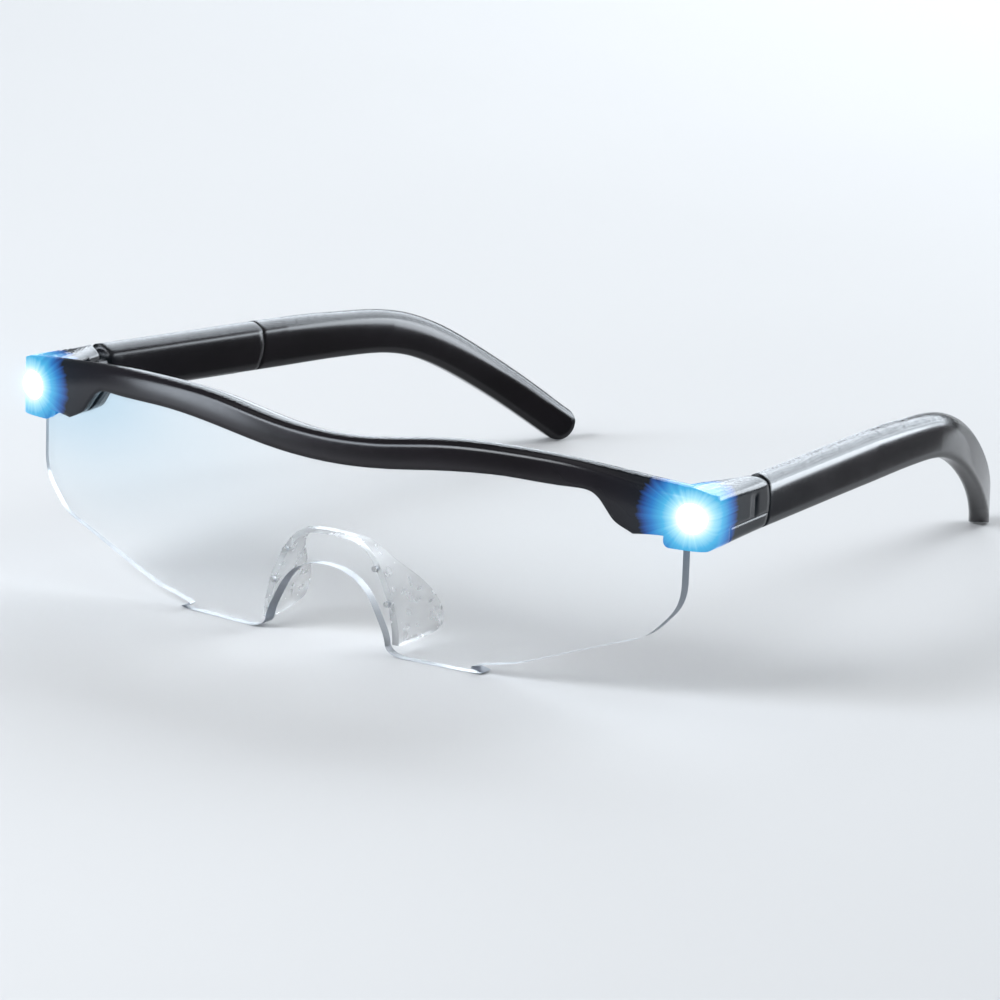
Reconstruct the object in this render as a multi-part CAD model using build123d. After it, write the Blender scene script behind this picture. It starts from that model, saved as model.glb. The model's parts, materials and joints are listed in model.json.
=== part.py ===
from build123d import *
from math import sqrt, tan, cos, radians
import os

# Lighted magnifier glasses, in millimetres.
# The wearer looks along -Y, +X is the right side as seen from the front, and +Z is up.
# Pieces are drawn about the point midway between the two lamps and set down on the floor at the end.
# Left and right are those of someone who faces the front of the glasses.

# The whole frame
frame_width = 146.4
half_width = frame_width / 2
wrap_radius = 300.0
lens_drop = 33.4
overrun = 40.0
gap = 0.3
fit_gap = 0.05
seat_gap = 0.1

# Lamps, set in from the ends of the frame, with the bar's front face just behind each one's middle
lamp_inset = 3.6
lamp_x = half_width - lamp_inset
lamp_setback = 0.2
brow_front = wrap_radius - sqrt(wrap_radius ** 2 - lamp_x ** 2) - lamp_setback

# Brow bar
brow_rise = 8.4
brow_depth = 6.6
brow_round = 1.3
brow_back_round = 0.6
brow_slope_share = 0.33
step_inset = 14.7
step_length = 8.0
step_end = half_width - step_inset
step_start = step_end - step_length
step_drop = 3.5
brow_top_shares = ((0.0, 0.62), (0.164, 0.72), (0.328, 0.93), (0.492, 1.0), (0.656, 0.955), (0.82, 0.82),
                   (0.951, 0.70))
brow_bottom_shares = ((0.0, -0.06), (0.164, 0.02), (0.328, 0.21), (0.492, 0.32), (0.63, 0.305))
step_shares = ((0.31, 0.14), (0.56, 0.53), (0.75, 0.81), (1.0, 0.98))
flare_inset = 6.2
flare_length = 26.5
flare_end = half_width - flare_inset
flare_start = flare_end - flare_length
flare = 4.0
flare_shares = ((0.0, 0.0), (0.35, 0.08), (0.65, 0.36), (0.85, 0.7), (1.0, 1.0))

# Lens
lens_lip = 1.7
lens_centre_thickness = 3.0
lens_side_thickness = 2.2
lens_side_inset = 5.6
lens_half_width = half_width - lens_side_inset
lens_tuck = 2.6
lens_side_tuck = 0.9
lens_lobe_shares = ((1.0, 0.36), (0.984, 0.5), (0.95, 0.585), (0.912, 0.655), (0.858, 0.70), (0.74, 0.784),
                    (0.621, 0.872), (0.533, 0.925), (0.445, 0.975), (0.36, 1.0))
lens_corner_share = 0.255
lens_notch_shares = ((0.188, 0.93), (0.168, 0.83), (0.138, 0.72), (0.098, 0.635), (0.05, 0.592), (0.0, 0.58))

# Wire from the left lamp to the right one, in a channel above the lens
wire_radius = 0.35
wire_channel = 1.3
wire_bend_share = 0.45

# Soft nose piece behind the lens
nose_wall = 1.3
nose_depth = 12.0
nose_flare_share = 1.14
nose_profile_shares = ((0.0, 0.41), (0.22, 0.415), (0.44, 0.433), (0.63, 0.5), (0.76, 0.585), (0.86, 0.675),
                       (0.93, 0.765), (0.98, 0.86), (1.0, 0.97))
nose_half_width = 14.0
nose_side_shares = ((-0.1, 0.4), (0.16, 0.425), (0.3, 0.5), (0.5, 0.58), (0.76, 0.67), (0.92, 0.76),
                    (0.985, 0.84), (0.93, 0.9), (0.7, 0.93), (0.4, 0.945), (-0.1, 0.955))
peg_radius = 0.5
peg_shares = (0.72, 0.845)

# Lamp housings
housing_height = 10.9
housing_width = 8.2
housing_middle = -0.1
nose_run = 9.2
nose_start = half_width - nose_run
nose_end_y = 4.5
nose_reach = 5.2
housing_front = -6.0
housing_shares = ((0.667, 0.34), (0.41, 0.66), (0.154, 0.93), (0.0, 1.0))
housing_wall = 1.4
cavity_width = 5.2
cavity_start = 5.2
cavity_end = 13.3
cavity_outer = half_width - housing_wall
cavity_inner = cavity_outer - cavity_width
cavity_top = 2.8
floor_height = -4.4
seam_height = -2.5
seam_gap = 0.15
cover_start = 7.5
lip_reach = 1.0
lip_height = 0.7

# Lamp window, reflector and light
window_radius = 2.6
window_front = 0.6
window_flange = 2.9
window_flange_length = 0.6
window_length = 1.25
window_dome = 1.6
reflector_end = 5.1
reflector_hole = 1.65
light_radius = 1.5
light_flange = 1.9
light_flange_length = 0.4
light_length = 2.5
board_thickness = 0.7
board_margin = 0.15

# Switch and its button under the left lamp
button_y = 10.95
button_length = 3.6
button_width = 2.2
button_flange = 0.4
button_flange_height = 0.55
button_reach = 0.6
button_travel = 0.6
switch_size = 3.2
switch_height = 1.5
plunger_radius = 0.8
plunger_height = 0.35
control_height = -0.6

# Temple blades, a step in from the ends of the frame
temple_start = 19.5
temple_step = 0.8
temple_outer = half_width - temple_step
temple_reach = 123.0
temple_inset = 23.6
temple_middle = -0.7
hook_drop = 31.0
blade_thickness = 4.1
blade_height = 9.2
blade_crown = 1.5
blade_round = 1.1
shoulder_round = 0.35
inner_chamfer = 1.6
temple_line_shares = ((0.0, 0.0, 0.0), (0.17, 0.11, 0.035), (0.34, 0.22, 0.07), (0.55, 0.355, 0.125),
                      (0.68, 0.45, 0.21), (0.80, 0.58, 0.43), (0.91, 0.77, 0.72), (1.0, 1.0, 1.0))
temple_size_shares = ((0.0, 1.0, 1.0), (0.37, 1.0, 1.0), (0.50, 0.97, 0.94), (0.62, 0.95, 0.88), (0.75, 0.92, 0.82),
                      (0.88, 0.9, 0.77), (1.0, 0.95, 0.75))
temple_stations = 13
tip_radius = 3.5

# Hinges
pivot_offset = 0.25
pivot_x = temple_outer - blade_thickness / 2 - pivot_offset
pivot_run = 3.8
pivot_y = temple_start - pivot_run
tongue_radius = 2.1
tongue_height = 3.6
tongue_middle = -0.45
tongue_inward = 1.55
tongue_outward = 1.1
tongue_inner = pivot_x - tongue_inward
tongue_outer = pivot_x + tongue_outward
slot_outer = tongue_outer + gap
screw_radius = 0.7
screw_head_radius = 1.3
screw_head_height = 0.9
screw_top = 3.0
joint_slant_degrees = 33.0
joint_bulge_radius = 7.5
joint_bulge = 1.6

# Left temple: battery section, its cell and lid, and the socket that the ear section plugs onto
battery_section = 41.0
cell_start = 4.6
cell_thickness = 2.3
cell_height = 5.4
battery_room = 2.5
battery_room_top = 2.6
lid_thickness = 0.9
charge_board_length = 4.4
charge_board_thickness = 0.6
socket_height = 6.9
socket_thickness = 2.3
socket_wall = 0.25
socket_length = 11.0
socket_reach = 5.0
socket_tongue = 0.7
cell_round_share = 0.4
socket_round_share = 0.3


def front_y(x):
    """The y of the brow bar's front face at a given x."""
    return wrap_radius - brow_front - sqrt(wrap_radius ** 2 - x ** 2)


def both_sides(points):
    """The points of a half outline from the centre out, given on both sides of the centre."""
    left = [(-x, z) for x, z in reversed(points) if x > 0]
    return left + list(points)


def front_prism(face, near, far):
    """A face drawn in x and z, as a solid from y = near to y = far."""
    placed = Plane.XZ.offset(-near) * face
    return extrude(placed, amount=near - far)


def plan_prism(face, low, high):
    """A face drawn in x and y, as a solid from z = low to z = high."""
    return extrude(Pos(0, 0, low) * face, amount=high - low)


def block(low, high):
    """A box between two corners."""
    size = [b - a for a, b in zip(low, high)]
    middle = [(a + b) / 2 for a, b in zip(low, high)]
    return Pos(*middle) * Box(*size)


def turned(points, x=lamp_x):
    """A half section in radius and y, turned about a lamp's axis."""
    profile = make_face(Polyline([(x + r, y) for r, y in points], close=True))
    return revolve(profile, Axis((x, 0, 0), (0, 1, 0)), 360)


def opposite(shape):
    """The same shape on the left side."""
    return mirror(shape, Plane.YZ)


# Front: the brow bar with a lamp housing at each end


def brow_top_points():
    return [(half_width * x, brow_rise * z) for x, z in brow_top_shares]


def brow_bottom_points():
    return [(half_width * x, brow_rise * z) for x, z in brow_bottom_shares]


def step_points():
    """The step in the bar's lower edge, from the lens opening down to the lamp housing."""
    high = brow_bottom_points()[-1][1]
    points = []
    for along, down in step_shares:
        points.append((step_start + (step_end - step_start) * along, high - (high + step_drop) * down))
    return points


def brow_face():
    """Everything above the bar's lower edge, between its ends."""
    bottom = both_sides(brow_bottom_points())
    wide = brow_top_points()[-1][0]
    step = Spline([bottom[-1]] + step_points() + [(wide, -step_drop)], tangents=[(1, 0), (1, 0)])
    rest = Polyline((wide, -step_drop), (wide, overrun), (-wide, overrun), (-wide, -step_drop))
    return make_face(Curve() + [Spline(bottom, tangents=[(1, 0), (1, 0)]), step, mirror(step, Plane.YZ), rest])


def below_top():
    """Everything below the bar's top face, which falls away from its front edge to the back."""
    line = [(x, z + brow_slope_share * (front_y(x) + overrun)) for x, z in both_sides(brow_top_points())]
    last_x, last_z = line[-1]
    wide = half_width + overrun
    rest = Polyline((last_x, last_z), (wide, last_z), (wide, -overrun), (-wide, -overrun), (-wide, last_z),
                    (-last_x, last_z))
    face = Plane.XZ.offset(overrun) * make_face(Curve() + [Spline(line), rest])
    return extrude(face, amount=overrun * 2, dir=(0, 1, -brow_slope_share))


def long_edges(bar, behind, low, high):
    """The bar's long edges at a depth behind its front face, with their middles between two heights."""
    edges = []
    for edge in bar.edges():
        spot = edge.position_at(1 / 2)
        at_depth = abs(spot.Y - front_y(spot.X) - behind) < brow_round
        if at_depth and low < spot.Z < high and edge.length > brow_rise / 2:
            edges.append(edge)
    return edges


def rounded_bar(bar):
    """The bar with its top edges rounded."""
    bar = fillet(long_edges(bar, 0, brow_rise / 2, brow_rise), brow_round)
    return fillet(long_edges(bar, brow_depth, brow_rise / 4, brow_rise), brow_back_round)


def nose_face():
    """Everything behind the front surface, seen from above, with the rounded noses of the lamp housings."""
    start = (nose_start, front_y(nose_start))
    slope = nose_start / sqrt(wrap_radius ** 2 - nose_start ** 2)
    lean = (nose_start + nose_reach, start[1] + nose_reach * slope)
    nose = Bezier(start, lean, (half_width, nose_end_y - nose_reach), (half_width, nose_end_y))
    front = ThreePointArc((-nose_start, start[1]), (0, -brow_front), start)
    wide = half_width + overrun
    rest = Polyline((half_width, nose_end_y), (wide, nose_end_y), (wide, overrun), (-wide, overrun),
                    (-wide, nose_end_y), (-half_width, nose_end_y))
    return make_face(Curve() + [front, nose, mirror(nose, Plane.YZ), rest])


def back_face():
    """Everything behind the back surface of the bar, seen from above."""
    points = [(0.0, brow_depth - brow_front)]
    points.append((flare_start / 2, front_y(flare_start / 2) + brow_depth))
    for along, out in flare_shares:
        x = flare_start + (flare_end - flare_start) * along
        points.append((x, front_y(x) + brow_depth + flare * out))
    line = both_sides(points)
    end_x, end_y = line[-1]
    wide = half_width + overrun
    rest = Polyline((end_x, end_y), (wide, end_y), (wide, overrun), (-wide, overrun), (-wide, end_y),
                    (-end_x, end_y))
    return make_face(Curve() + [Spline(line), rest])


def blade_face(thickness, height, scale=1.0):
    """A temple's section: flat sides, a rounded bottom and a crowned top with crisp shoulders."""
    half = thickness / 2
    crown = blade_crown * scale
    shoulder = height / 2 - crown
    low = -height / 2
    edges = Polyline((-half, shoulder), (-half, low), (half, low), (half, shoulder))
    top = ThreePointArc((half, shoulder), (0, height / 2), (-half, shoulder))
    face = make_face(Curve() + [edges, top])
    face = fillet(face.vertices().group_by(Axis.Y)[0], blade_round * scale)
    return fillet(face.vertices().group_by(Axis.Y)[-1], shoulder_round * scale)


def temple_line():
    """The middle line of the right temple, from the joint to the tip."""
    start_x = temple_outer - blade_thickness / 2
    points = []
    for along, inset, drop in temple_line_shares:
        points.append((start_x - temple_inset * inset, temple_start + temple_reach * along,
                       temple_middle - hook_drop * drop))
    return Spline(points)


LINE = temple_line()
LINE_LENGTH = LINE.length


def temple_plane(share, forward=0.0):
    """The plane of a temple section: local x outward, local y up, facing the front."""
    heading = LINE.tangent_at(share)
    outward = Vector(heading.Y, -heading.X, 0)
    return Plane(LINE.position_at(share) - heading * forward, x_dir=outward, z_dir=-heading)


def housing_blank():
    """The right lamp housing before it is hollowed, from the temple's section to the nose."""
    sections = []
    for forward in (-joint_bulge * 2, 0.0):
        sections.append(temple_plane(0.0, forward) * blade_face(blade_thickness, blade_height))
    stations = [(temple_start * y, share) for y, share in housing_shares] + [(housing_front, 1.0)]
    for y, share in stations:
        width = blade_thickness + (housing_width - blade_thickness) * share
        height = blade_height + (housing_height - blade_height) * share
        outer = temple_outer + (half_width - temple_outer) * share
        middle = temple_middle + (housing_middle - temple_middle) * share
        plane = Plane(origin=(outer - width / 2, y, middle), x_dir=(1, 0, 0), z_dir=(0, -1, 0))
        sections.append(plane * blade_face(width, height))
    return loft(sections)


def joint_roll(radius, slant):
    """A lying roll whose rear side is the bulged face of the joint, slanted forward to the inside."""
    centre_y = temple_start + joint_bulge - joint_bulge_radius / cos(radians(slant))
    roll = Rot(0, 90, 0) * Cylinder(radius, overrun)
    return Pos(temple_outer, centre_y, temple_middle) * Rot(0, 0, slant) * roll


def housing_shell():
    """The right housing's outer form, with its slanted rear face."""
    blank = housing_blank() & plan_prism(nose_face(), -overrun, overrun)
    front_part = block((0, -overrun, -overrun), (overrun * 3, temple_start - joint_bulge_radius, overrun))
    return blank & (joint_roll(joint_bulge_radius, joint_slant_degrees) + front_part)


def lower_region():
    """Below the seam, behind the nose: the part of the housing that the lamp cover makes."""
    return block((0, cover_start, -overrun), (overrun * 3, overrun, seam_height))


def hinge_slot():
    """Room in the right housing for the temple's tongue, open to the rear and the inside."""
    low = seam_height - overrun
    high = tongue_middle + tongue_height / 2 + gap
    middle = (low + high) / 2
    room = Pos(pivot_x, pivot_y, middle) * Cylinder(tongue_radius + gap, high - low)
    room += block((0, pivot_y, low), (slot_outer, overrun, high))
    room += block((0, pivot_y - tongue_radius - gap, low), (pivot_x, overrun, high))
    return room


def lamp_bore():
    """The stepped hole behind a lamp's window."""
    shape = turned([(0, -overrun), (window_radius + fit_gap, -overrun), (window_radius + fit_gap, flange_y()),
                    (window_flange + fit_gap, flange_y()), (window_flange + fit_gap, cavity_start + fit_gap),
                    (0, cavity_start + fit_gap)])
    return shape


def flange_y():
    """Where the window's flange rests inside the housing."""
    return window_front + window_length


def housing_room():
    """The room for the boards behind a lamp."""
    return block((cavity_inner, cavity_start, floor_height), (cavity_outer, cavity_end, cavity_top))


def lens_top(grow):
    """The half of the lens's edge that is tucked into the bar, from the centre out to the side."""
    side_top = lens_side_tuck - step_drop + grow
    top = [(x, z + lens_tuck + grow) for x, z in brow_bottom_points()]
    last_x, last_z = top[-1]
    middle = ((step_start + step_end) / 2 + grow, (last_z + side_top) / 2)
    shoulder = Spline((last_x, last_z), (step_start - lens_tuck / 2 + grow, last_z - lens_tuck / 2), middle,
                      (step_end + lens_tuck, side_top), tangents=[(1, 0), (1, 0)])
    side = Line((step_end + lens_tuck, side_top), (lens_half_width + grow, side_top))
    return Spline(both_sides(top), tangents=[(1, 0), (1, 0)]), [shoulder, side]


def groove_face(grow):
    """The slot that takes the top of the lens, larger by a clearance."""
    top, half = lens_top(grow)
    corner = half[-1] @ 1
    wide, high = corner.X, corner.Y
    rest = Polyline((wide, high), (wide, -lens_drop), (-wide, -lens_drop), (-wide, high))
    return make_face(Curve() + [top, rest] + half + [mirror(part, Plane.YZ) for part in half])


def lens_face():
    """The lens seen from the front: tucked into the bar, with two lobes and a nose notch."""
    top, half = lens_top(0)
    lobe = [(lens_half_width * x, -lens_drop * z) for x, z in lens_lobe_shares]
    notch = [(lens_half_width * x, -lens_drop * z) for x, z in lens_notch_shares]
    corner = (lens_half_width * lens_corner_share, -lens_drop)
    half.append(Line(half[-1] @ 1, lobe[0]))
    half.append(Spline(lobe, tangents=[(0, -1), (-1, 0)]))
    half.append(Line(lobe[-1], corner))
    half.append(Bezier(corner, (notch[0][0], -lens_drop), notch[0]))
    half.append(Spline(notch, tangents=[(-0.2, 1), (-1, 0)]))
    return make_face(Curve() + [top] + half + [mirror(part, Plane.YZ) for part in half])


def lens_shell(clearance):
    """The space between the lens's two curved faces, grown by a clearance."""
    front_radius = wrap_radius - lens_lip
    centre_y = wrap_radius - brow_front
    sag = front_radius - sqrt(front_radius ** 2 - lens_half_width ** 2)
    back_sag = sag - (lens_centre_thickness - lens_side_thickness)
    back_radius = (lens_half_width ** 2 + back_sag ** 2) / (2 * back_sag)
    back_centre = lens_lip - brow_front + lens_centre_thickness + back_radius
    front = Pos(0, centre_y, 0) * Cylinder(front_radius + clearance, overrun * 3)
    back = Pos(0, back_centre, 0) * Cylinder(back_radius - clearance, overrun * 4)
    near = block((-half_width, -overrun, -overrun), (half_width, overrun, overrun))
    return (front & near) - back


def lens_back_y(x):
    """The y of the lens's back face at a given x."""
    return front_y(x) + lens_lip + lens_centre_thickness


def lens():
    body = front_prism(lens_face(), -overrun, overrun) & lens_shell(0)
    return body - nose_pegs(fit_gap)


def wire_points():
    """The wire's route above the lens, from the middle out to the right lamp's board."""
    rise = lens_tuck + wire_channel / 2 + wire_radius / 2
    points = []
    for x, z in brow_bottom_points():
        points.append((x, front_y(x) + lens_lip + lens_centre_thickness / 2, z + rise))
    end_z = cavity_top - wire_radius * 2
    middle_z = (points[-1][2] + end_z) / 2
    points.append((step_start, front_y(step_start) + lens_lip + lens_side_thickness / 2, middle_z))
    points.append((nose_start, front_y(nose_start) + brow_depth / 2, end_z))
    points.append((cavity_inner + board_margin * 2, cavity_start + board_thickness * 3, end_z))
    return points


def wire_tube(radius):
    """The wire, or the channel for it: straight runs joined by arcs."""
    half = wire_points()
    points = [(-x, y, z) for x, y, z in reversed(half) if x > 0] + half
    bends = []
    for before, here, after in zip(points, points[1:], points[2:]):
        first = Vector(*here) - Vector(*before)
        second = Vector(*after) - Vector(*here)
        turn = radians(first.get_angle(second)) / 2
        bends.append(wire_bend_share * min(first.length, second.length) / tan(turn))
    path = FilletPolyline(points, radius=bends)
    start = Plane(path @ 0, z_dir=path % 0)
    return sweep(start * Circle(radius), path)


def wire_band():
    """The thin band between the lens's two faces that the wire's channel takes up, over the lens alone."""
    middle = wrap_radius - lens_lip - lens_centre_thickness / 2
    half = wire_radius + seat_gap
    band = Cylinder(middle + half, overrun * 2) - Cylinder(middle - half, overrun * 3)
    band = Pos(0, wrap_radius - brow_front, 0) * band
    return band & block((-step_start, -overrun, 0), (step_start, overrun, overrun))


def brow_bar():
    bar = front_prism(brow_face(), -overrun, overrun)
    bar &= below_top()
    bar &= plan_prism(nose_face(), -overrun, overrun)
    bar -= plan_prism(back_face(), -overrun, overrun)
    bar -= block((-half_width, cover_start, -overrun), (half_width, overrun, seam_height))
    bar = rounded_bar(bar)
    shell = housing_shell()
    shell -= lower_region()
    shell -= hinge_slot()
    body = bar + shell + opposite(shell)
    groove = front_prism(groove_face(seat_gap), -overrun, overrun) & lens_shell(fit_gap)
    body -= groove
    hollow = lamp_bore() + housing_room()
    hollow += screw_room(fit_gap / 2)
    body -= hollow
    body -= opposite(hollow)
    channel = front_prism(groove_face(wire_channel), -overrun, overrun) & wire_band()
    return body - channel - wire_tube(wire_radius + seat_gap)


def nose_points(inset=0.0):
    """The saddle's outer profile seen from the front, or the same line drawn in by a wall."""
    return [((nose_half_width - inset) * x, -lens_drop * z - inset * (1 - z)) for x, z in nose_profile_shares]


def nose_pegs(clearance):
    """The four pegs that hold the nose piece in the lens."""
    pegs = Part()
    line = Spline(both_sides(nose_points(nose_wall / 2)))
    for share in peg_shares:
        for place in (share, 1 - share):
            spot = line.position_at(place)
            back = lens_back_y(spot.X)
            start = back - lens_centre_thickness / 2
            pin = Rot(90, 0, 0) * Cylinder(peg_radius + clearance, lens_centre_thickness)
            pegs += Pos(spot.X, start + lens_centre_thickness / 2, spot.Y) * pin
    return pegs


def nose_strip(y, scale):
    """The saddle's strip at one depth, wider towards the face."""
    outer = both_sides(nose_points())
    inner = both_sides(nose_points(nose_wall))
    outer = [(x * scale, z) for x, z in outer]
    inner = [(x * scale, z) for x, z in inner]
    ends = [Line(outer[0], inner[0]), Line(outer[-1], inner[-1])]
    return Plane.XZ.offset(-y) * make_face(Curve() + [Spline(outer), Spline(inner)] + ends)


def nose_piece():
    """A clear saddle behind the lens, trimmed to two pads joined by a narrow bridge."""
    near = lens_back_y(nose_half_width) - lens_centre_thickness
    far = near + lens_centre_thickness + nose_depth * 1.1
    saddle = loft([nose_strip(near, 1.0), nose_strip(far, nose_flare_share)], ruled=True)
    start = lens_back_y(nose_half_width)
    line = [(start + nose_depth * y, -lens_drop * z) for y, z in nose_side_shares]
    side = make_face(Curve() + [Spline(line), Line(line[-1], line[0])])
    side = Plane(origin=(-half_width, 0, 0), x_dir=(0, 1, 0), z_dir=(1, 0, 0)) * side
    body = saddle & extrude(side, amount=frame_width)
    body -= lens_shell(fit_gap) + front_prism(Rectangle(frame_width, overrun * 2), -overrun, near)
    return body + nose_pegs(0)


# Lamps


def lamp_window():
    """The clear domed window of a lamp, with a flange that rests in the housing."""
    flange = flange_y() + seat_gap
    tip = window_front - window_dome
    rim = Polyline((lamp_x + window_radius, window_front), (lamp_x + window_radius, flange),
                   (lamp_x + window_flange, flange), (lamp_x + window_flange, flange + window_flange_length),
                   (lamp_x, flange + window_flange_length), (lamp_x, tip))
    reach = window_radius * sqrt(0.5)
    dome = ThreePointArc((lamp_x, tip), (lamp_x + reach, window_front - window_dome * 0.6), rim @ 0)
    return revolve(make_face(Curve() + [rim, dome]), Axis((lamp_x, 0, 0), (0, 1, 0)), 360)


def reflector():
    """The cup behind the window, with a hole for the light."""
    near = flange_y() + window_flange_length + seat_gap * 2
    rim = window_radius - seat_gap
    hole = reflector_hole
    return turned([(window_flange, near), (window_flange, reflector_end), (hole, reflector_end),
                   (hole, reflector_end - seat_gap * 5), (rim, near)])


def light():
    """A small domed light with its flange on the board."""
    back = cavity_start + seat_gap * 2
    front = back - light_length
    collar = back - light_flange_length
    sides = Polyline((lamp_x, front), (lamp_x, back), (lamp_x + reflector_hole - seat_gap, back),
                     (lamp_x + reflector_hole - seat_gap, collar), (lamp_x + light_radius, collar),
                     (lamp_x + light_radius, front + light_radius))
    dome = RadiusArc(sides @ 1, sides @ 0, light_radius)
    return revolve(make_face(Curve() + [sides, dome]), Axis((lamp_x, 0, 0), (0, 1, 0)), 360)


def light_board():
    """The upright board that carries a light."""
    near = cavity_start + seat_gap * 3
    low = (cavity_inner + board_margin, near, floor_height + board_margin)
    high = (cavity_outer - board_margin, near + board_thickness, cavity_top - wire_radius * 4)
    return block(low, high)


# Lamp covers, with the button under the left one


def cover_pocket():
    """The room inside a lamp cover for the button's flange."""
    reach = button_width / 2 + button_flange * 2
    low = (button_x() - reach, cover_start + skin(), floor_height)
    high = (button_x() + reach, cavity_end, seam_height)
    return block(low, high)


def skin():
    """The wall left under a lamp housing."""
    return housing_height / 2 + floor_height - housing_middle


def button_x():
    return (cavity_inner + cavity_outer) / 2


def button_hole():
    hole = SlotOverall(button_length + seat_gap * 2, button_width + seat_gap * 2, rotation=90)
    return plan_prism(Pos(button_x(), button_y) * hole, -overrun, overrun)


def hinge_hole(radius, low, high):
    return Pos(pivot_x, pivot_y, (low + high) / 2) * Cylinder(radius, high - low)


def screw_low():
    """The height of the hinge screw's head, flush under the lamp cover."""
    return temple_middle - blade_height / 2 + seat_gap * 2


def hinge_screw():
    """The screw that holds the lamp cover and carries the temple."""
    low = screw_low()
    head = hinge_hole(screw_head_radius, low, low + screw_head_height)
    shank = hinge_hole(screw_radius, low, screw_top)
    slot = block((pivot_x - screw_head_radius, pivot_y - fit_gap * 4, low - overrun),
                 (pivot_x + screw_head_radius, pivot_y + fit_gap * 4, low + screw_head_height / 2))
    return head + shank - slot


def screw_room(clearance):
    low = screw_low()
    room = hinge_hole(screw_radius + clearance, low, screw_top + seat_gap)
    return room + hinge_hole(screw_head_radius + seat_gap, -overrun, low + screw_head_height + seat_gap / 2)


def lamp_cover():
    """The lower part of a lamp housing, which is also the lower ear of the hinge."""
    body = housing_shell() & block((0, cover_start + seat_gap, -overrun), (overrun * 3, overrun, seam_height - seam_gap))
    body -= cover_pocket()
    body -= screw_room(fit_gap / 2)
    lip_low = floor_height + seat_gap
    reach = button_width / 2 + button_flange
    lip = block((button_x() - reach, cover_start - lip_reach, lip_low),
                (button_x() + reach, cover_start + skin(), lip_low + lip_height))
    return body + lip


def power_button():
    """The push button under the left lamp, with a flange that keeps it in."""
    flange_low = floor_height + seat_gap
    low = temple_middle - blade_height / 2 - button_reach
    cap = plan_prism(SlotOverall(button_length, button_width, rotation=90), low, flange_low + button_flange_height)
    cap = fillet(cap.faces().sort_by(Axis.Z)[0].edges(), button_reach / 2)
    flange = SlotOverall(button_length + button_flange * 2, button_width + button_flange * 2, rotation=90)
    body = cap + plan_prism(flange, flange_low, flange_low + button_flange_height)
    return Pos(button_x(), button_y, 0) * body


def switch_low():
    return floor_height + seat_gap * 2 + button_flange_height + button_travel


def control_board():
    """The lying board above the button."""
    low = switch_low() + plunger_height + switch_height
    corner = (cavity_inner + board_margin, cavity_start + seat_gap * 4 + board_thickness, low)
    return block(corner, (cavity_outer - board_margin, cavity_end - board_margin, low + board_thickness))


def switch():
    """The small push switch under the control board."""
    low = switch_low()
    half = switch_size / 2
    body = block((button_x() - half, button_y - half, low + plunger_height),
                 (button_x() + half, button_y + half, low + plunger_height + switch_height))
    return body + Pos(button_x(), button_y, low + plunger_height / 2) * Cylinder(plunger_radius, plunger_height)


# Temples


def blade_shares(place):
    """A temple's thickness and height at a share of its length, as shares of the blade's own."""
    for first, last in zip(temple_size_shares, temple_size_shares[1:]):
        if place <= last[0]:
            along = (place - first[0]) / (last[0] - first[0])
            return [a + (b - a) * along for a, b in zip(first[1:], last[1:])]
    return temple_size_shares[-1][1:]


def tip_region():
    """Everything ahead of the rounded tip of the right temple."""
    end = temple_plane(1.0, tip_radius).location
    ahead = Pos(0, 0, overrun * 2) * Box(overrun * 4, overrun * 4, overrun * 4)
    return end * (ahead + Rot(0, 90, 0) * Cylinder(tip_radius, overrun))


def blade():
    """The right temple's blade from the joint to the tip."""
    sections = [temple_plane(0.0, LINE_LENGTH / temple_stations) * blade_face(blade_thickness, blade_height)]
    for count in range(temple_stations + 1):
        share = count / temple_stations
        thick, tall = blade_shares(share)
        section = blade_face(blade_thickness * thick, blade_height * tall, min(thick, tall))
        sections.append(temple_plane(share) * section)
    body = loft(sections) & tip_region()
    body -= joint_roll(joint_bulge_radius + gap, 0) + block((0, -overrun, -overrun),
                                                            (overrun * 3, temple_start - joint_bulge_radius, overrun))
    inner = temple_outer - blade_thickness
    corner = Pos(inner, temple_start + gap, 0) * Rot(0, 0, 45) * Box(inner_chamfer, inner_chamfer, overrun * 2)
    body -= corner
    return body & block((-overrun, -overrun, -lens_drop), (overrun * 3, overrun * 5, overrun))


def tongue():
    """The hinge tongue in front of a temple, round about the pivot."""
    low = tongue_middle - tongue_height / 2
    high = tongue_middle + tongue_height / 2
    body = hinge_hole(tongue_radius, low, high)
    body += block((tongue_inner, pivot_y, low), (tongue_outer, temple_start + joint_bulge * 2, high))
    return body


def whole_temple():
    return blade() + tongue() - hinge_hole(screw_radius + fit_gap, -overrun, overrun)


def section_plane(distance):
    """The plane across the battery section at a distance behind the joint."""
    start = LINE.position_at(0)
    end = LINE.position_at(battery_section / LINE_LENGTH)
    heading = (end - start).normalized()
    outward = Vector(heading.Y, -heading.X, 0)
    return Plane(start + heading * distance, x_dir=outward, z_dir=-heading)


def section_block(start, end, thickness, low, high):
    """A box lying along the battery section."""
    middle = section_plane((start + end) / 2)
    return middle.location * Pos(0, (low + high) / 2, 0) * Box(thickness, high - low, end - start)


def section_roll(radius):
    """The bulged end of the battery section."""
    centre = section_plane(battery_section + joint_bulge - joint_bulge_radius)
    return centre.location * Rot(0, 90, 0) * Cylinder(radius, overrun)


def section_front(radius):
    """All of the left temple in front of the bulged joint of its ear section."""
    front = section_plane(battery_section + joint_bulge - joint_bulge_radius - overrun)
    return section_roll(radius) + front.location * Box(overrun * 2, overrun * 2, overrun * 2)


def battery_bottom():
    return -blade_height / 2


def socket_start():
    """How far behind the joint the charging socket begins."""
    return battery_section + joint_bulge + socket_reach - socket_length


def board_start():
    """How far behind the joint the charge board begins, between the cell and the socket."""
    return socket_start() - gap - charge_board_length


def cell_end():
    return board_start() - gap


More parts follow.
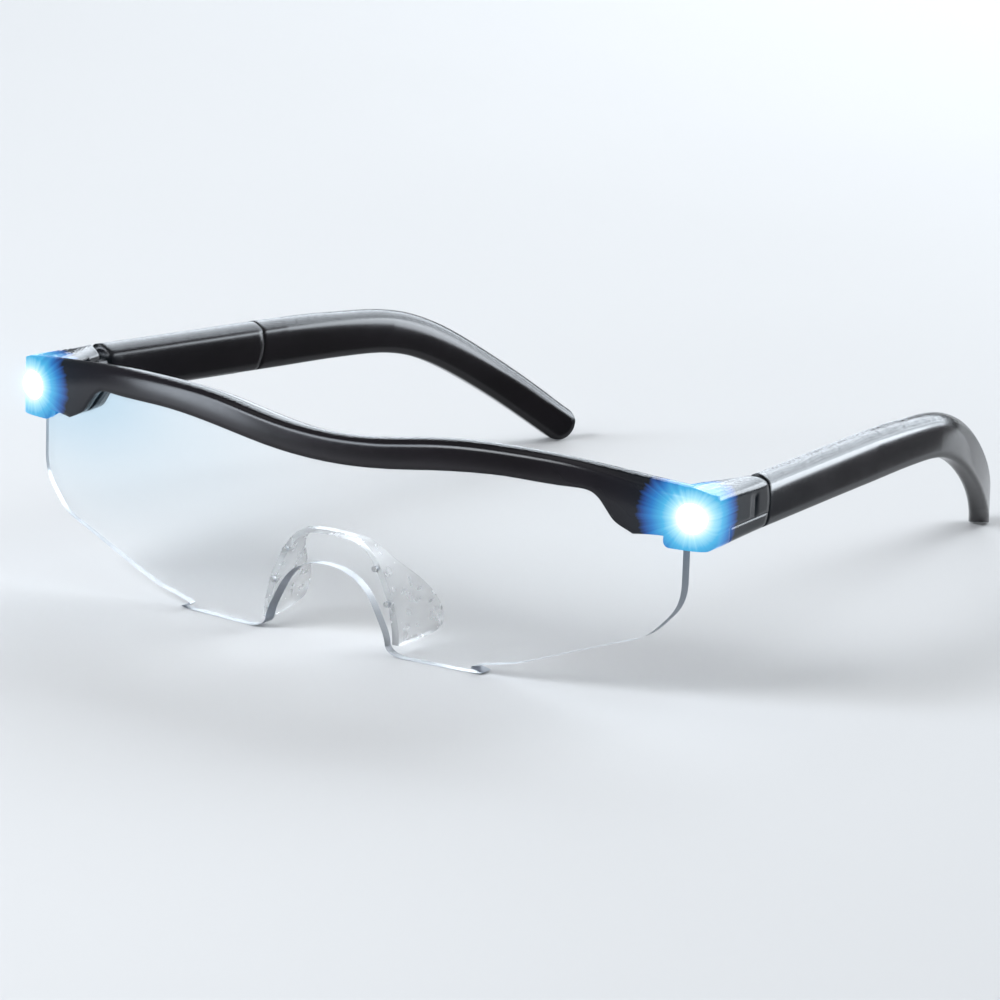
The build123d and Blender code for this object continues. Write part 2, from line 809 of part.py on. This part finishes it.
def battery_arm():
    """The front section of the left temple: a shell that holds the cell, closed by a lid underneath."""
    body = whole_temple() & section_front(joint_bulge_radius)
    body -= section_block(cell_start - gap, socket_start(), battery_room, battery_bottom() - overrun, battery_room_top)
    half = socket_height / 2 + seat_gap / 2
    body -= section_block(board_start(), battery_section + overrun, socket_thickness + seat_gap, -half, half)
    return body


def battery_lid():
    low = battery_bottom()
    return section_block(cell_start - gap + seat_gap, socket_start() - seat_gap, battery_room - seat_gap, low,
                         low + lid_thickness)


def battery_cell():
    low = battery_bottom() + lid_thickness + seat_gap
    body = section_block(cell_start, cell_end(), cell_thickness, low, low + cell_height)
    return fillet(body.edges().group_by(Edge.length)[-1], cell_thickness * cell_round_share)


def charge_board():
    low = battery_bottom() + lid_thickness + seat_gap
    return section_block(board_start(), socket_start() - gap, charge_board_thickness, low, low + cell_height)


def charge_socket():
    """The metal charging socket: it stands out of the battery section, and the ear section plugs onto it."""
    end = battery_section + joint_bulge + socket_reach
    start = socket_start()
    half = socket_height / 2
    shell = section_block(start, end, socket_thickness, -half, half)
    shell = fillet(shell.edges().group_by(Edge.length)[-1], socket_thickness * socket_round_share)
    inside = section_block(start + socket_length / 2, end + overrun, socket_thickness - socket_wall * 2,
                           socket_wall - half, half - socket_wall)
    tab = section_block(start + socket_length / 3, end - socket_reach / 3, socket_tongue,
                        socket_wall * 4 - half, half - socket_wall * 4)
    return shell - inside + tab


def ear_section():
    """The rear section of the left temple, which pulls off the socket."""
    body = whole_temple() - section_front(joint_bulge_radius + seat_gap)
    end = battery_section + joint_bulge + socket_reach + gap
    half = socket_height / 2 + seat_gap
    return body - section_block(battery_section - overrun / 4, end, socket_thickness + seat_gap * 2, -half, half)


def export(name, shape, place):
    solids = shape.solids()
    export_step(place * shape, os.path.join("parts", name + ".step"))
    print(name, len(solids), round(shape.volume, 1), shape.is_valid)


def main():
    os.makedirs("parts", exist_ok=True)
    bar = brow_bar()
    right = whole_temple()
    ahead = bar.bounding_box().min.Y
    behind = right.bounding_box().max.Y
    place = Pos(0, -(ahead + behind) / 2, lens_drop)
    print("seat", -(ahead + behind) / 2, "length", behind - ahead)
    export("brow_bar", bar, place)
    export("lens", lens(), place)
    export("nose_piece", nose_piece(), place)
    export("brow_wire", wire_tube(wire_radius), place)
    export("temple_right", right, place)
    pairs = {"lamp_window": lamp_window(), "reflector": reflector(), "light": light(),
             "light_board": light_board(), "hinge_screw": hinge_screw()}
    for name, shape in pairs.items():
        export(name + "_right", shape, place)
        export(name + "_left", opposite(shape), place)
    cover = lamp_cover()
    export("lamp_cover_right", cover, place)
    lefts = {"lamp_cover_left": cover - button_hole(), "power_button": power_button(), "control_board": control_board(),
             "switch": switch(), "battery_arm": battery_arm(), "battery_lid": battery_lid(),
             "battery_cell": battery_cell(), "charge_board": charge_board(), "charge_socket": charge_socket(),
             "ear_section": ear_section()}
    for name, shape in lefts.items():
        export(name, opposite(shape), place)


main()
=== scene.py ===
import json
import math

import bmesh
import bpy
from mathutils import Matrix, Vector


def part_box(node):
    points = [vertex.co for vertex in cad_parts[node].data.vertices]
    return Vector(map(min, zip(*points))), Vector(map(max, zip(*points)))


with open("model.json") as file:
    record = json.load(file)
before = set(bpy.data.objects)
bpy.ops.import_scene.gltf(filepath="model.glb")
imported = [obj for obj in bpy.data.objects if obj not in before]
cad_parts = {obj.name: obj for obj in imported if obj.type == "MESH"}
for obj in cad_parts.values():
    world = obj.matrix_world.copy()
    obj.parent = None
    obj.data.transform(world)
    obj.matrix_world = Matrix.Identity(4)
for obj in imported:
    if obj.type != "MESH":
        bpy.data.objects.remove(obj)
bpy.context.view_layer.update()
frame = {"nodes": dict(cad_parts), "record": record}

# Lengths are in metres, and MM turns millimetres into them. A comment says where it is otherwise.

NODES = frame["nodes"]
SCENE = bpy.context.scene
MM = 0.001


def middle(node):
    """The middle of a CAD node's box."""
    low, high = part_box(node)
    return (low + high) / 2


LAMP = middle("lamp_window_right")


# Materials


class Nodes:
    """A material and short ways to add and join its nodes. A value is a socket, a number or a colour."""

    def __init__(self, name):
        self.material = bpy.data.materials.new(name)
        self.material.use_nodes = True
        self.tree = self.material.node_tree
        self.shader = self.tree.nodes["Principled BSDF"]

    def add(self, kind, **settings):
        node = self.tree.nodes.new(kind)
        for key, value in settings.items():
            setattr(node, key, value)
        return node

    def join(self, source, target):
        self.tree.links.new(source, target)

    def put(self, socket, value):
        """Links a socket, and sets a number or a colour directly."""
        if isinstance(value, bpy.types.NodeSocket):
            self.join(value, socket)
        else:
            socket.default_value = value

    def fill(self, node, *values):
        """Puts the values on a node's first inputs."""
        for socket, value in zip(node.inputs, values):
            self.put(socket, value)
        return node

    def set(self, **values):
        """Puts values on the shader's inputs, named with underscores for spaces."""
        for key, value in values.items():
            self.put(self.shader.inputs[key.replace("_", " ")], value)

    def place(self):
        """The point on the piece, which stays with the piece when it moves."""
        return self.add("ShaderNodeTexCoord").outputs["Object"]

    def normal(self):
        """The direction that the surface faces, which turns with the piece."""
        return self.add("ShaderNodeTexCoord").outputs["Normal"]

    def split(self, vector):
        """The three parts of a vector."""
        return self.fill(self.add("ShaderNodeSeparateXYZ"), vector).outputs

    def combine(self, *values):
        return self.fill(self.add("ShaderNodeCombineXYZ"), *values).outputs[0]

    def math(self, operation, *values):
        return self.fill(self.add("ShaderNodeMath", operation=operation), *values).outputs[0]

    def plus(self, first, second):
        return self.math("ADD", first, second)

    def minus(self, first, second):
        return self.math("SUBTRACT", first, second)

    def times(self, first, second):
        return self.math("MULTIPLY", first, second)

    def share(self, first, second):
        return self.math("DIVIDE", first, second)

    def vector(self, operation, *values):
        node = self.fill(self.add("ShaderNodeVectorMath", operation=operation), *values)
        return node.outputs["Value" if operation in ("LENGTH", "DOT_PRODUCT") else "Vector"]

    def noise(self, scale, detail):
        node = self.add("ShaderNodeTexNoise")
        self.join(self.place(), node.inputs["Vector"])
        node.inputs["Scale"].default_value = scale
        node.inputs["Detail"].default_value = detail
        return node.outputs["Fac"]

    def range(self, value, low, high, to_low, to_high, smooth=False):
        """The value, moved from one range to another and held at its ends."""
        curve = "SMOOTHSTEP" if smooth else "LINEAR"
        node = self.add("ShaderNodeMapRange", interpolation_type=curve)
        return self.fill(node, value, low, high, to_low, to_high).outputs[0]

    def ramp(self, value, stops, blend="LINEAR"):
        """A colour looked up among stops of a place and a colour each."""
        node = self.add("ShaderNodeValToRGB")
        node.color_ramp.interpolation = blend
        self.join(value, node.inputs[0])
        elements = node.color_ramp.elements
        while len(elements) < len(stops):
            elements.new(0.5)
        for element, (place, colour) in zip(elements, stops):
            element.position = place
            element.color = (*colour, 1.0)
        return node.outputs["Color"]

    def mix(self, factor, first, second):
        """A colour between two others, which are the node's inputs 6 and 7."""
        node = self.add("ShaderNodeMix", data_type="RGBA")
        for number, value in ((0, factor), (6, first), (7, second)):
            self.put(node.inputs[number], value)
        return node.outputs[2]

    def relief(self, height, distance, strength=1.0, over=None):
        """The surface's direction, changed by a height that a distance scales."""
        node = self.add("ShaderNodeBump")
        self.join(height, node.inputs["Height"])
        node.inputs["Distance"].default_value = distance
        node.inputs["Strength"].default_value = strength
        if over:
            self.join(over, node.inputs["Normal"])
        return node.outputs[0]

    def bump(self, height, distance, strength=1.0, over=None):
        self.join(self.relief(height, distance, strength, over), self.shader.inputs["Normal"])

    def soft_edges(self, radius):
        """The surface's direction with its edges rounded to a radius."""
        node = self.add("ShaderNodeBevel", samples=EDGE_SAMPLES)
        node.inputs["Radius"].default_value = radius
        return node.outputs[0]


# Most of a noise texture's values lie between these two. Below, a name that ends in NOISE holds a noise's
# scale and detail.
NOISE_LOW, NOISE_HIGH = 0.3, 0.7
EDGE_SAMPLES = 8
ACRYLIC_INDEX = 1.49


def mottled(low, high):
    """The stops of a ramp that a noise texture reads, between two colours."""
    return (NOISE_LOW, low), (NOISE_HIGH, high)


# The black faces are flat in the CAD model, and are shaded as if they leaned back and rolled over towards
# their tops. A line holds (place along the piece, height of the face's middle), and a half is the face's half
# height, all in millimetres. A lean is the slope at the middle, and TURN adds to it away from there.
# ROLL_OVER is the depth of the roll at the top as a share of the half.
BAR_LINE = ((0.0, 35.4), (10.0, 35.7), (20.0, 37.4), (30.0, 38.4), (40.0, 38.6), (50.0, 38.5), (60.0, 35.6),
            (73.1, 34.6))
BAR_HALF = 3.1
BAR_LEAN = 0.17
TEMPLE_LINE = ((-54.0, 33.0), (-27.0, 31.6), (0.0, 30.2), (15.0, 29.1), (30.0, 27.3), (42.0, 23.5),
               (54.0, 16.8), (66.0, 8.3), (76.0, 1.2))
TEMPLE_HALF = 4.6
LEFT_TEMPLE_LEAN = 0.30
RIGHT_TEMPLE_LEAN = 0.40
TURN = 0.05
ROLL_OVER = 0.36
ROLL_POWER = 4.0


def rounded_face(m, along, height, line, half, lean):
    """The relief, in mm, of a face that leans back a little and rolls over towards its top."""
    places, heights = zip(*line)
    first, last = places[0], places[-1]
    low, high = min(heights), max(heights)
    stops = [((place - first) / (last - first), ((z - low) / (high - low),) * 3) for place, z in line]
    grey = m.ramp(m.range(along, first * MM, last * MM, 0.0, 1.0), stops, "B_SPLINE")
    centre = m.range(grey, 0.0, 1.0, low * MM, high * MM)
    off = m.share(m.minus(height, centre), half * MM)
    flat = m.times(off, m.plus(lean, m.times(off, TURN)))
    over = m.times(m.math("POWER", m.math("MAXIMUM", off, 0.0), ROLL_POWER), ROLL_OVER)
    return m.times(m.plus(flat, over), -half)


def from_lamp(m):
    """The place relative to the nearer lamp."""
    across, back, height = m.split(m.place())
    return m.combine(m.minus(m.math("ABSOLUTE", across), LAMP.x), m.minus(back, LAMP.y),
                     m.minus(height, LAMP.z))


# The colours of a painted lamp glow, which the black plastic round the lamp emits, from its middle to its
# reach. The glow's edge is uneven by a share of the reach, and it fades on faces that turn backwards between
# the two slopes.
PAINTED_HALO = ((0.0, (1.0, 1.0, 1.0)), (0.28, (0.88, 0.97, 1.0)), (0.38, (0.40, 0.80, 0.95)),
        (0.54, (0.07, 0.46, 0.78)), (0.74, (0.02, 0.20, 0.56)), (0.90, (0.010, 0.06, 0.26)),
        (1.0, (0.0, 0.0, 0.0)))
HALO_REACH = 9.8 * MM
HALO_RAYS = 7.0
HALO_RAY_DETAIL = 2.0
HALO_UNEVEN = 0.05
HALO_FADE = (0.15, 0.5)


def add_painted_halo(m):
    """A painted blue lamp glow, which the plastic emits on the faces that look forwards, with uneven rays at
    its edge.
    """
    off = from_lamp(m)
    across, _, height = m.split(off)
    rays = m.add("ShaderNodeTexNoise", noise_dimensions="1D")
    m.put(rays.inputs["W"], m.times(m.math("ARCTAN2", height, across), HALO_RAYS))
    rays.inputs["Scale"].default_value = 1.0
    rays.inputs["Detail"].default_value = HALO_RAY_DETAIL
    uneven = m.range(rays.outputs[0], NOISE_LOW, NOISE_HIGH, 1 - HALO_UNEVEN, 1 + HALO_UNEVEN)
    far = m.share(m.share(m.vector("LENGTH", off), HALO_REACH), uneven)
    backwards = m.split(m.normal())[1]
    m.set(Emission_Color=m.ramp(far, PAINTED_HALO), Emission_Strength=m.range(backwards, *HALO_FADE, 1.0, 0.0))


BLACK = mottled((0.006, 0.005, 0.006), (0.010, 0.008, 0.010))
BLACK_INDEX = 1.5
BLACK_SPECULAR = 0.3
BLACK_ROUGHNESS = (0.13, 0.20)
BLACK_FINE_NOISE = (900.0, 4.0)
BLACK_BROAD_NOISE = (60.0, 2.0)
BLACK_GRAIN = 0.002 * MM
BLACK_GRAIN_STRENGTH = 0.35
HOUSING_EDGE = 1.0 * MM
TEMPLE_EDGE = 1.4 * MM


def black_plastic(name, edge, temple_lean=None):
    """Gloss black moulded plastic: a temple's, if it has a lean, or else the bar's and the lamp housings',
    which carry a painted lamp glow.
    """
    m = Nodes(name)
    fine = m.noise(*BLACK_FINE_NOISE)
    broad = m.noise(*BLACK_BROAD_NOISE)
    m.set(Base_Color=m.ramp(broad, BLACK), IOR=BLACK_INDEX, Specular_IOR_Level=BLACK_SPECULAR,
          Roughness=m.range(m.plus(fine, broad), 2 * NOISE_LOW, 2 * NOISE_HIGH, *BLACK_ROUGHNESS))
    across, back, height = m.split(m.place())
    if temple_lean is None:
        face = rounded_face(m, m.math("ABSOLUTE", across), height, BAR_LINE, BAR_HALF, BAR_LEAN)
        # The bar and the lamp housings emit a painted glow round each lamp.
        add_painted_halo(m)
    else:
        face = rounded_face(m, back, height, TEMPLE_LINE, TEMPLE_HALF, temple_lean)
    m.bump(fine, BLACK_GRAIN, BLACK_GRAIN_STRENGTH, m.relief(face, MM, 1.0, m.soft_edges(edge)))
    return m.material


# The radius of the lens's outer face. A surface counts as its rim below the first facing and as a large face
# above the second one, where a facing is the cosine of the angle to the way out from the lens's axis.
LENS_RADIUS = 298.3 * MM
LENS_FACING = (0.6, 0.85)
# The painted blue sheen is strongest at the left and at the top, and a slow noise makes it cloudy.
LENS_PAINTED_SHEEN = ((0.0, (0.985, 0.992, 0.996)), (0.5, (0.86, 0.94, 0.985)), (1.0, (0.62, 0.81, 0.93)))
PAINTED_SHEEN_ACROSS = (-68 * MM, 10 * MM)
PAINTED_SHEEN_HEIGHT = (2 * MM, 36 * MM)
PAINTED_SHEEN_NOISE = (22.0, 2.0)
PAINTED_SHEEN_CLOUD = (0.75, 1.0)
RIM_COLOUR = (0.27, 0.30, 0.35, 1.0)
RIM_ROUGHNESS = 0.42
RIM_TRANSMISSION = 0.45


def from_lens_axis(m):
    """The level way from the upright line that the lens curves round to the place on the piece."""
    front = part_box("lens")[0][1]
    across, back, _ = m.split(m.place())
    return m.combine(across, m.minus(back, front + LENS_RADIUS))


def lens_faces(m):
    """One on the lens's two large faces and nothing on its cut rim."""
    outwards = m.vector("NORMALIZE", from_lens_axis(m))
    facing = m.math("ABSOLUTE", m.vector("DOT_PRODUCT", outwards, m.normal()))
    return m.range(facing, *LENS_FACING, 0.0, 1.0, True)


def clear_lens():
    """Clear moulded acrylic with a faint painted blue sheen towards the upper left and a greyer rim."""
    m = Nodes("clear_lens")
    across, _, height = m.split(m.place())
    leftwards = m.range(across, *PAINTED_SHEEN_ACROSS, 1.0, 0.0, True)
    upwards = m.range(height, *PAINTED_SHEEN_HEIGHT, 0.0, 1.0, True)
    cloud = m.range(m.noise(*PAINTED_SHEEN_NOISE), NOISE_LOW, NOISE_HIGH, *PAINTED_SHEEN_CLOUD)
    painted_sheen = m.times(m.times(leftwards, upwards), cloud)
    faces = lens_faces(m)
    m.set(Base_Color=m.mix(faces, RIM_COLOUR, m.ramp(painted_sheen, LENS_PAINTED_SHEEN)), IOR=ACRYLIC_INDEX,
          Roughness=m.range(faces, 0.0, 1.0, RIM_ROUGHNESS, 0.0),
          Transmission_Weight=m.range(faces, 0.0, 1.0, RIM_TRANSMISSION, 1.0))
    return m.material


SILICONE = mottled((0.93, 0.925, 0.92), (0.985, 0.98, 0.975))
SILICONE_NOISE = (120.0, 3.0)
SILICONE_INDEX = 1.3
SILICONE_TRANSMISSION = 0.66
SILICONE_ROUGHNESS = (0.18, 0.30)
SILICONE_ROUGHNESS_NOISE = (500.0, 2.0)
FLOW_MARK_NOISE = (160.0, 1.0)
FLOW_MARK_DEPTH = 0.02 * MM
FLOW_MARK_STRENGTH = 0.4
# The pegs' painted glow starts and is full at these depths behind the lens's outer face.
PEG_DEPTHS = (2.3 * MM, 2.0 * MM)
PEG_GLOW = 0.10
PEG_PAINTED_LIGHT_COLOUR = (0.9, 0.95, 1.0, 1.0)


def soft_clear():
    """Clear silicone, a little milky, with faint flow marks. Its pegs glow a little with painted light inside
    the lens, where the light wouldn't reach them."""
    m = Nodes("soft_clear")
    starts, full = (LENS_RADIUS - depth for depth in PEG_DEPTHS)
    m.set(Base_Color=m.ramp(m.noise(*SILICONE_NOISE), SILICONE), IOR=SILICONE_INDEX,
          Roughness=m.range(m.noise(*SILICONE_ROUGHNESS_NOISE), NOISE_LOW, NOISE_HIGH, *SILICONE_ROUGHNESS),
          Transmission_Weight=SILICONE_TRANSMISSION, Emission_Color=PEG_PAINTED_LIGHT_COLOUR,
          Emission_Strength=m.range(m.vector("LENGTH", from_lens_axis(m)), starts, full, 0.0, PEG_GLOW))
    m.bump(m.noise(*FLOW_MARK_NOISE), FLOW_MARK_DEPTH, FLOW_MARK_STRENGTH)
    return m.material


WINDOW_RADIUS = 3.4 * MM
WINDOW_COLOUR = (0.9, 0.97, 1.0, 1.0)
WINDOW_ROUGHNESS = 0.08
WINDOW_GLOW = ((0.0, (1.0, 1.0, 1.0)), (0.75, (0.96, 0.99, 1.0)), (1.0, (0.72, 0.93, 1.0)))
WINDOW_STRENGTH = 3.2


def lit_window():
    """The lamp's window, lit from behind: white in the middle and pale blue at the rim."""
    m = Nodes("lit_window")
    far = m.share(m.vector("LENGTH", from_lamp(m)), WINDOW_RADIUS)
    m.set(Base_Color=WINDOW_COLOUR, Roughness=WINDOW_ROUGHNESS, IOR=ACRYLIC_INDEX,
          Emission_Color=m.ramp(far, WINDOW_GLOW), Emission_Strength=WINDOW_STRENGTH)
    return m.material


# A plain surface's grain: the noise's detail, how far the roughness goes to each side as a share, and the
# bump's depth and strength.
GRAIN_DETAIL = 4.0
GRAIN_SPREAD = 0.2
GRAIN_DEPTH = 0.01 * MM
FOIL_DEPTH = 0.03 * MM
GRAIN_STRENGTH = 0.5


def plain(name, low, high, scale, roughness, metallic=0.0, depth=GRAIN_DEPTH):
    """A surface whose colour goes between two along a grain, which also changes its gloss and its height."""
    m = Nodes(name)
    grain = m.noise(scale, GRAIN_DETAIL)
    least, most = roughness * (1 - GRAIN_SPREAD), roughness * (1 + GRAIN_SPREAD)
    m.set(Base_Color=m.ramp(grain, mottled(low, high)), Metallic=metallic,
          Roughness=m.range(grain, NOISE_LOW, NOISE_HIGH, least, most))
    m.bump(grain, depth, GRAIN_STRENGTH)
    return m.material


BOARD_TRACKS = {"Scale": 900.0, "Mortar Size": 0.02, "Color1": (0.01, 0.12, 0.04, 1.0),
                "Color2": (0.012, 0.16, 0.05, 1.0), "Mortar": (0.05, 0.3, 0.1, 1.0)}
BOARD_ROUGHNESS = 0.35
TRACK_HEIGHT = 0.01 * MM
TRACK_STRENGTH = 0.4


def circuit_board():
    """A green board with a fine pattern of tracks."""
    m = Nodes("circuit_board")
    tracks = m.add("ShaderNodeTexBrick")
    m.join(m.place(), tracks.inputs["Vector"])
    for name, value in BOARD_TRACKS.items():
        tracks.inputs[name].default_value = value
    m.set(Base_Color=tracks.outputs["Color"], Roughness=BOARD_ROUGHNESS)
    m.bump(tracks.outputs["Fac"], TRACK_HEIGHT, TRACK_STRENGTH)
    return m.material


# By the record's slot. A plain surface is given by its two colours, its grain's scale and its roughness, and
# a metal by 1.0 after them, with its grain's depth where that differs.
SLOT_MATERIALS = {
    "frame": black_plastic("black_plastic", TEMPLE_EDGE, LEFT_TEMPLE_LEAN),
    "lens": clear_lens(),
    "soft_clear": soft_clear(),
    "window": lit_window(),
    "light": lit_window(),
    "bright": plain("bright_cup", (0.78, 0.82, 0.86), (0.9, 0.93, 0.96), 300.0, 0.12, 1.0),
    "board": circuit_board(),
    "wire": plain("red_wire", (0.30, 0.012, 0.01), (0.42, 0.02, 0.015), 500.0, 0.4),
    "button": plain("satin_black", (0.02, 0.02, 0.022), (0.035, 0.035, 0.038), 1500.0, 0.45),
    "steel": plain("plated_steel", (0.5, 0.5, 0.52), (0.66, 0.66, 0.68), 1200.0, 0.25, 1.0),
    "cell": plain("cell_foil", (0.5, 0.51, 0.53), (0.66, 0.67, 0.7), 400.0, 0.35, 1.0, FOIL_DEPTH),
}
# The bar's and the lamp housings' black plastic, with a painted lamp glow on it.
PAINTED_GLOW_PLASTIC = black_plastic("black_plastic_painted_glow", HOUSING_EDGE)
# By node, for the black pieces that differ from the others.
NODE_MATERIALS = {
    "brow_bar": PAINTED_GLOW_PLASTIC,
    "lamp_cover_right": PAINTED_GLOW_PLASTIC,
    "lamp_cover_left": PAINTED_GLOW_PLASTIC,
    "temple_right": black_plastic("black_plastic_right", TEMPLE_EDGE, RIGHT_TEMPLE_LEAN),
}

for part in frame["record"]["subparts"]:
    slots = NODES[part["node"]].data.materials
    slots.clear()
    slots.append(NODE_MATERIALS.get(part["node"]) or SLOT_MATERIALS[part["material_slot"]])


# Stage, camera and light

FLOOR_HALF_SIZE = 8.0
# The floor lies this far below the lens's lowest edge, because faces that touch show as patches.
FLOOR_DROP = 0.1 * MM
FLOOR = mottled((0.58, 0.57, 0.56), (0.60, 0.59, 0.58))
FLOOR_NOISE = (3.0, 2.0)
FLOOR_ROUGHNESS = 0.9
FLOOR_SPECULAR = 0.1

# Angles are in degrees, and the lens and the sensor's width in millimetres. The camera turns round a point
# midway between the lamps, a little in front of their lights' middles, and the two aims shift its view.
CAMERA_AZIMUTH = 34.9
CAMERA_ELEVATION = 14.5
CAMERA_ROLL = 1.63
CAMERA_DISTANCE = 1.0
CAMERA_LENS = 208.0
CAMERA_SENSOR = 36.0
CAMERA_NEAR, CAMERA_FAR = 0.05, 50.0
AIM_RIGHT = 26.06 * MM
AIM_UP = -8.76 * MM
BEFORE_LIGHTS = 4.15 * MM
BETWEEN_LAMPS = Vector((0.0, middle("light_right").y - BEFORE_LIGHTS, LAMP.z))

# The overhead light's angle is in radians.
OVERHEAD_PLACE = (0.1, 0.2, 1.2)
OVERHEAD_STRENGTH = 0.45
OVERHEAD_ANGLE = 1.2

# Name, place, width and height, power and colour. The two at the back light the top faces and the temples'
# sides, and the two at the front light the left and right parts of the bar.
SOFTBOXES = (
    ("back", (-0.42, 1.25, 0.58), (1.25, 0.85), 15.0, (0.84, 0.92, 1.0)),
    ("back_right", (0.44, 1.15, 0.58), (0.72, 0.7), 17.0, (0.86, 0.93, 1.0)),
    ("front_left", (-0.63, -0.67, 0.42), (0.26, 0.85), 8.0, (0.82, 0.90, 1.0)),
    ("front", (-0.34, -0.80, 0.62), (0.40, 0.40), 7.0, (0.90, 0.95, 1.0)),
)
SOFTBOX_AIM = (0, 0, 0.03)

STUDIO_COLOUR = (0.93, 0.95, 1.0, 1.0)
STUDIO_STRENGTH = 0.16

BLOOM = {"Threshold": 1.6, "Strength": 0.6, "Size": 0.4, "Tint": (0.25, 0.65, 1.0, 1.0)}


def stage_floor():
    """A wide pale floor under the glasses."""
    mesh = bpy.data.meshes.new("floor")
    bm = bmesh.new()
    bmesh.ops.create_grid(bm, x_segments=1, y_segments=1, size=FLOOR_HALF_SIZE)
    bm.to_mesh(mesh)
    bm.free()
    floor = bpy.data.objects.new("floor", mesh)
    floor.location.z = -FLOOR_DROP
    SCENE.collection.objects.link(floor)
    m = Nodes("pale_floor")
    m.set(Base_Color=m.ramp(m.noise(*FLOOR_NOISE), FLOOR), Roughness=FLOOR_ROUGHNESS,
          Specular_IOR_Level=FLOOR_SPECULAR)
    mesh.materials.append(m.material)


def photo_camera():
    """The photograph's camera, found from the two lamps, the hinges and the temple tips."""
    turn, tilt = math.radians(CAMERA_AZIMUTH), math.radians(CAMERA_ELEVATION)
    level = math.cos(tilt)
    back = Vector((math.sin(turn) * level, -math.cos(turn) * level, math.sin(tilt)))
    right = (-back).cross(Vector((0, 0, 1))).normalized()
    up = right.cross(-back)
    roll = math.radians(CAMERA_ROLL)
    right, up = (right * math.cos(roll) + up * math.sin(roll),
                 up * math.cos(roll) - right * math.sin(roll))
    place = BETWEEN_LAMPS + back * CAMERA_DISTANCE
    target = BETWEEN_LAMPS + right * AIM_RIGHT + up * AIM_UP
    ahead = (target - place).normalized()
    x = ahead.cross(up).normalized()
    y = x.cross(ahead)
    data = bpy.data.cameras.new("camera")
    data.sensor_width = CAMERA_SENSOR
    data.lens = CAMERA_LENS
    data.clip_start, data.clip_end = CAMERA_NEAR, CAMERA_FAR
    camera = bpy.data.objects.new("camera", data)
    SCENE.collection.objects.link(camera)
    camera.matrix_world = Matrix.Translation(place) @ Matrix((x, y, -ahead)).transposed().to_4x4()
    SCENE.camera = camera


def add_light(name, data, place, target):
    """Puts a light in a place and turns it to a target."""
    light = bpy.data.objects.new(name, data)
    SCENE.collection.objects.link(light)
    light.location = place
    light.rotation_mode = "QUATERNION"
    light.rotation_quaternion = (Vector(target) - Vector(place)).to_track_quat("-Z", "Y")


def overhead():
    """A wide soft light from above."""
    data = bpy.data.lights.new("overhead", "SUN")
    data.energy = OVERHEAD_STRENGTH
    data.angle = OVERHEAD_ANGLE
    add_light("overhead", data, OVERHEAD_PLACE, (0, 0, 0))


def softbox(name, place, size, power, colour):
    """A rectangular light that looks at the glasses."""
    data = bpy.data.lights.new(name, "AREA")
    data.shape = "RECTANGLE"
    data.size, data.size_y = size
    data.energy = power
    data.color = colour
    add_light(name, data, place, SOFTBOX_AIM)


def studio_world():
    """A dim, even light from all round."""
    world = bpy.data.worlds.new("studio")
    world.use_nodes = True
    background = world.node_tree.nodes["Background"]
    background.inputs["Color"].default_value = STUDIO_COLOUR
    background.inputs["Strength"].default_value = STUDIO_STRENGTH
    SCENE.world = world


def bloom():
    """The soft glow that the lamps leave in the picture."""
    SCENE.use_nodes = True
    tree = SCENE.node_tree
    tree.nodes.clear()
    layers = tree.nodes.new("CompositorNodeRLayers")
    glare = tree.nodes.new("CompositorNodeGlare")
    glare.glare_type = "BLOOM"
    for name, value in BLOOM.items():
        glare.inputs[name].default_value = value
    composite = tree.nodes.new("CompositorNodeComposite")
    tree.links.new(layers.outputs["Image"], glare.inputs["Image"])
    tree.links.new(glare.outputs["Image"], composite.inputs["Image"])


stage_floor()
photo_camera()
overhead()
for box in SOFTBOXES:
    softbox(*box)
studio_world()
bloom()
SCENE.view_settings.view_transform = "Standard"
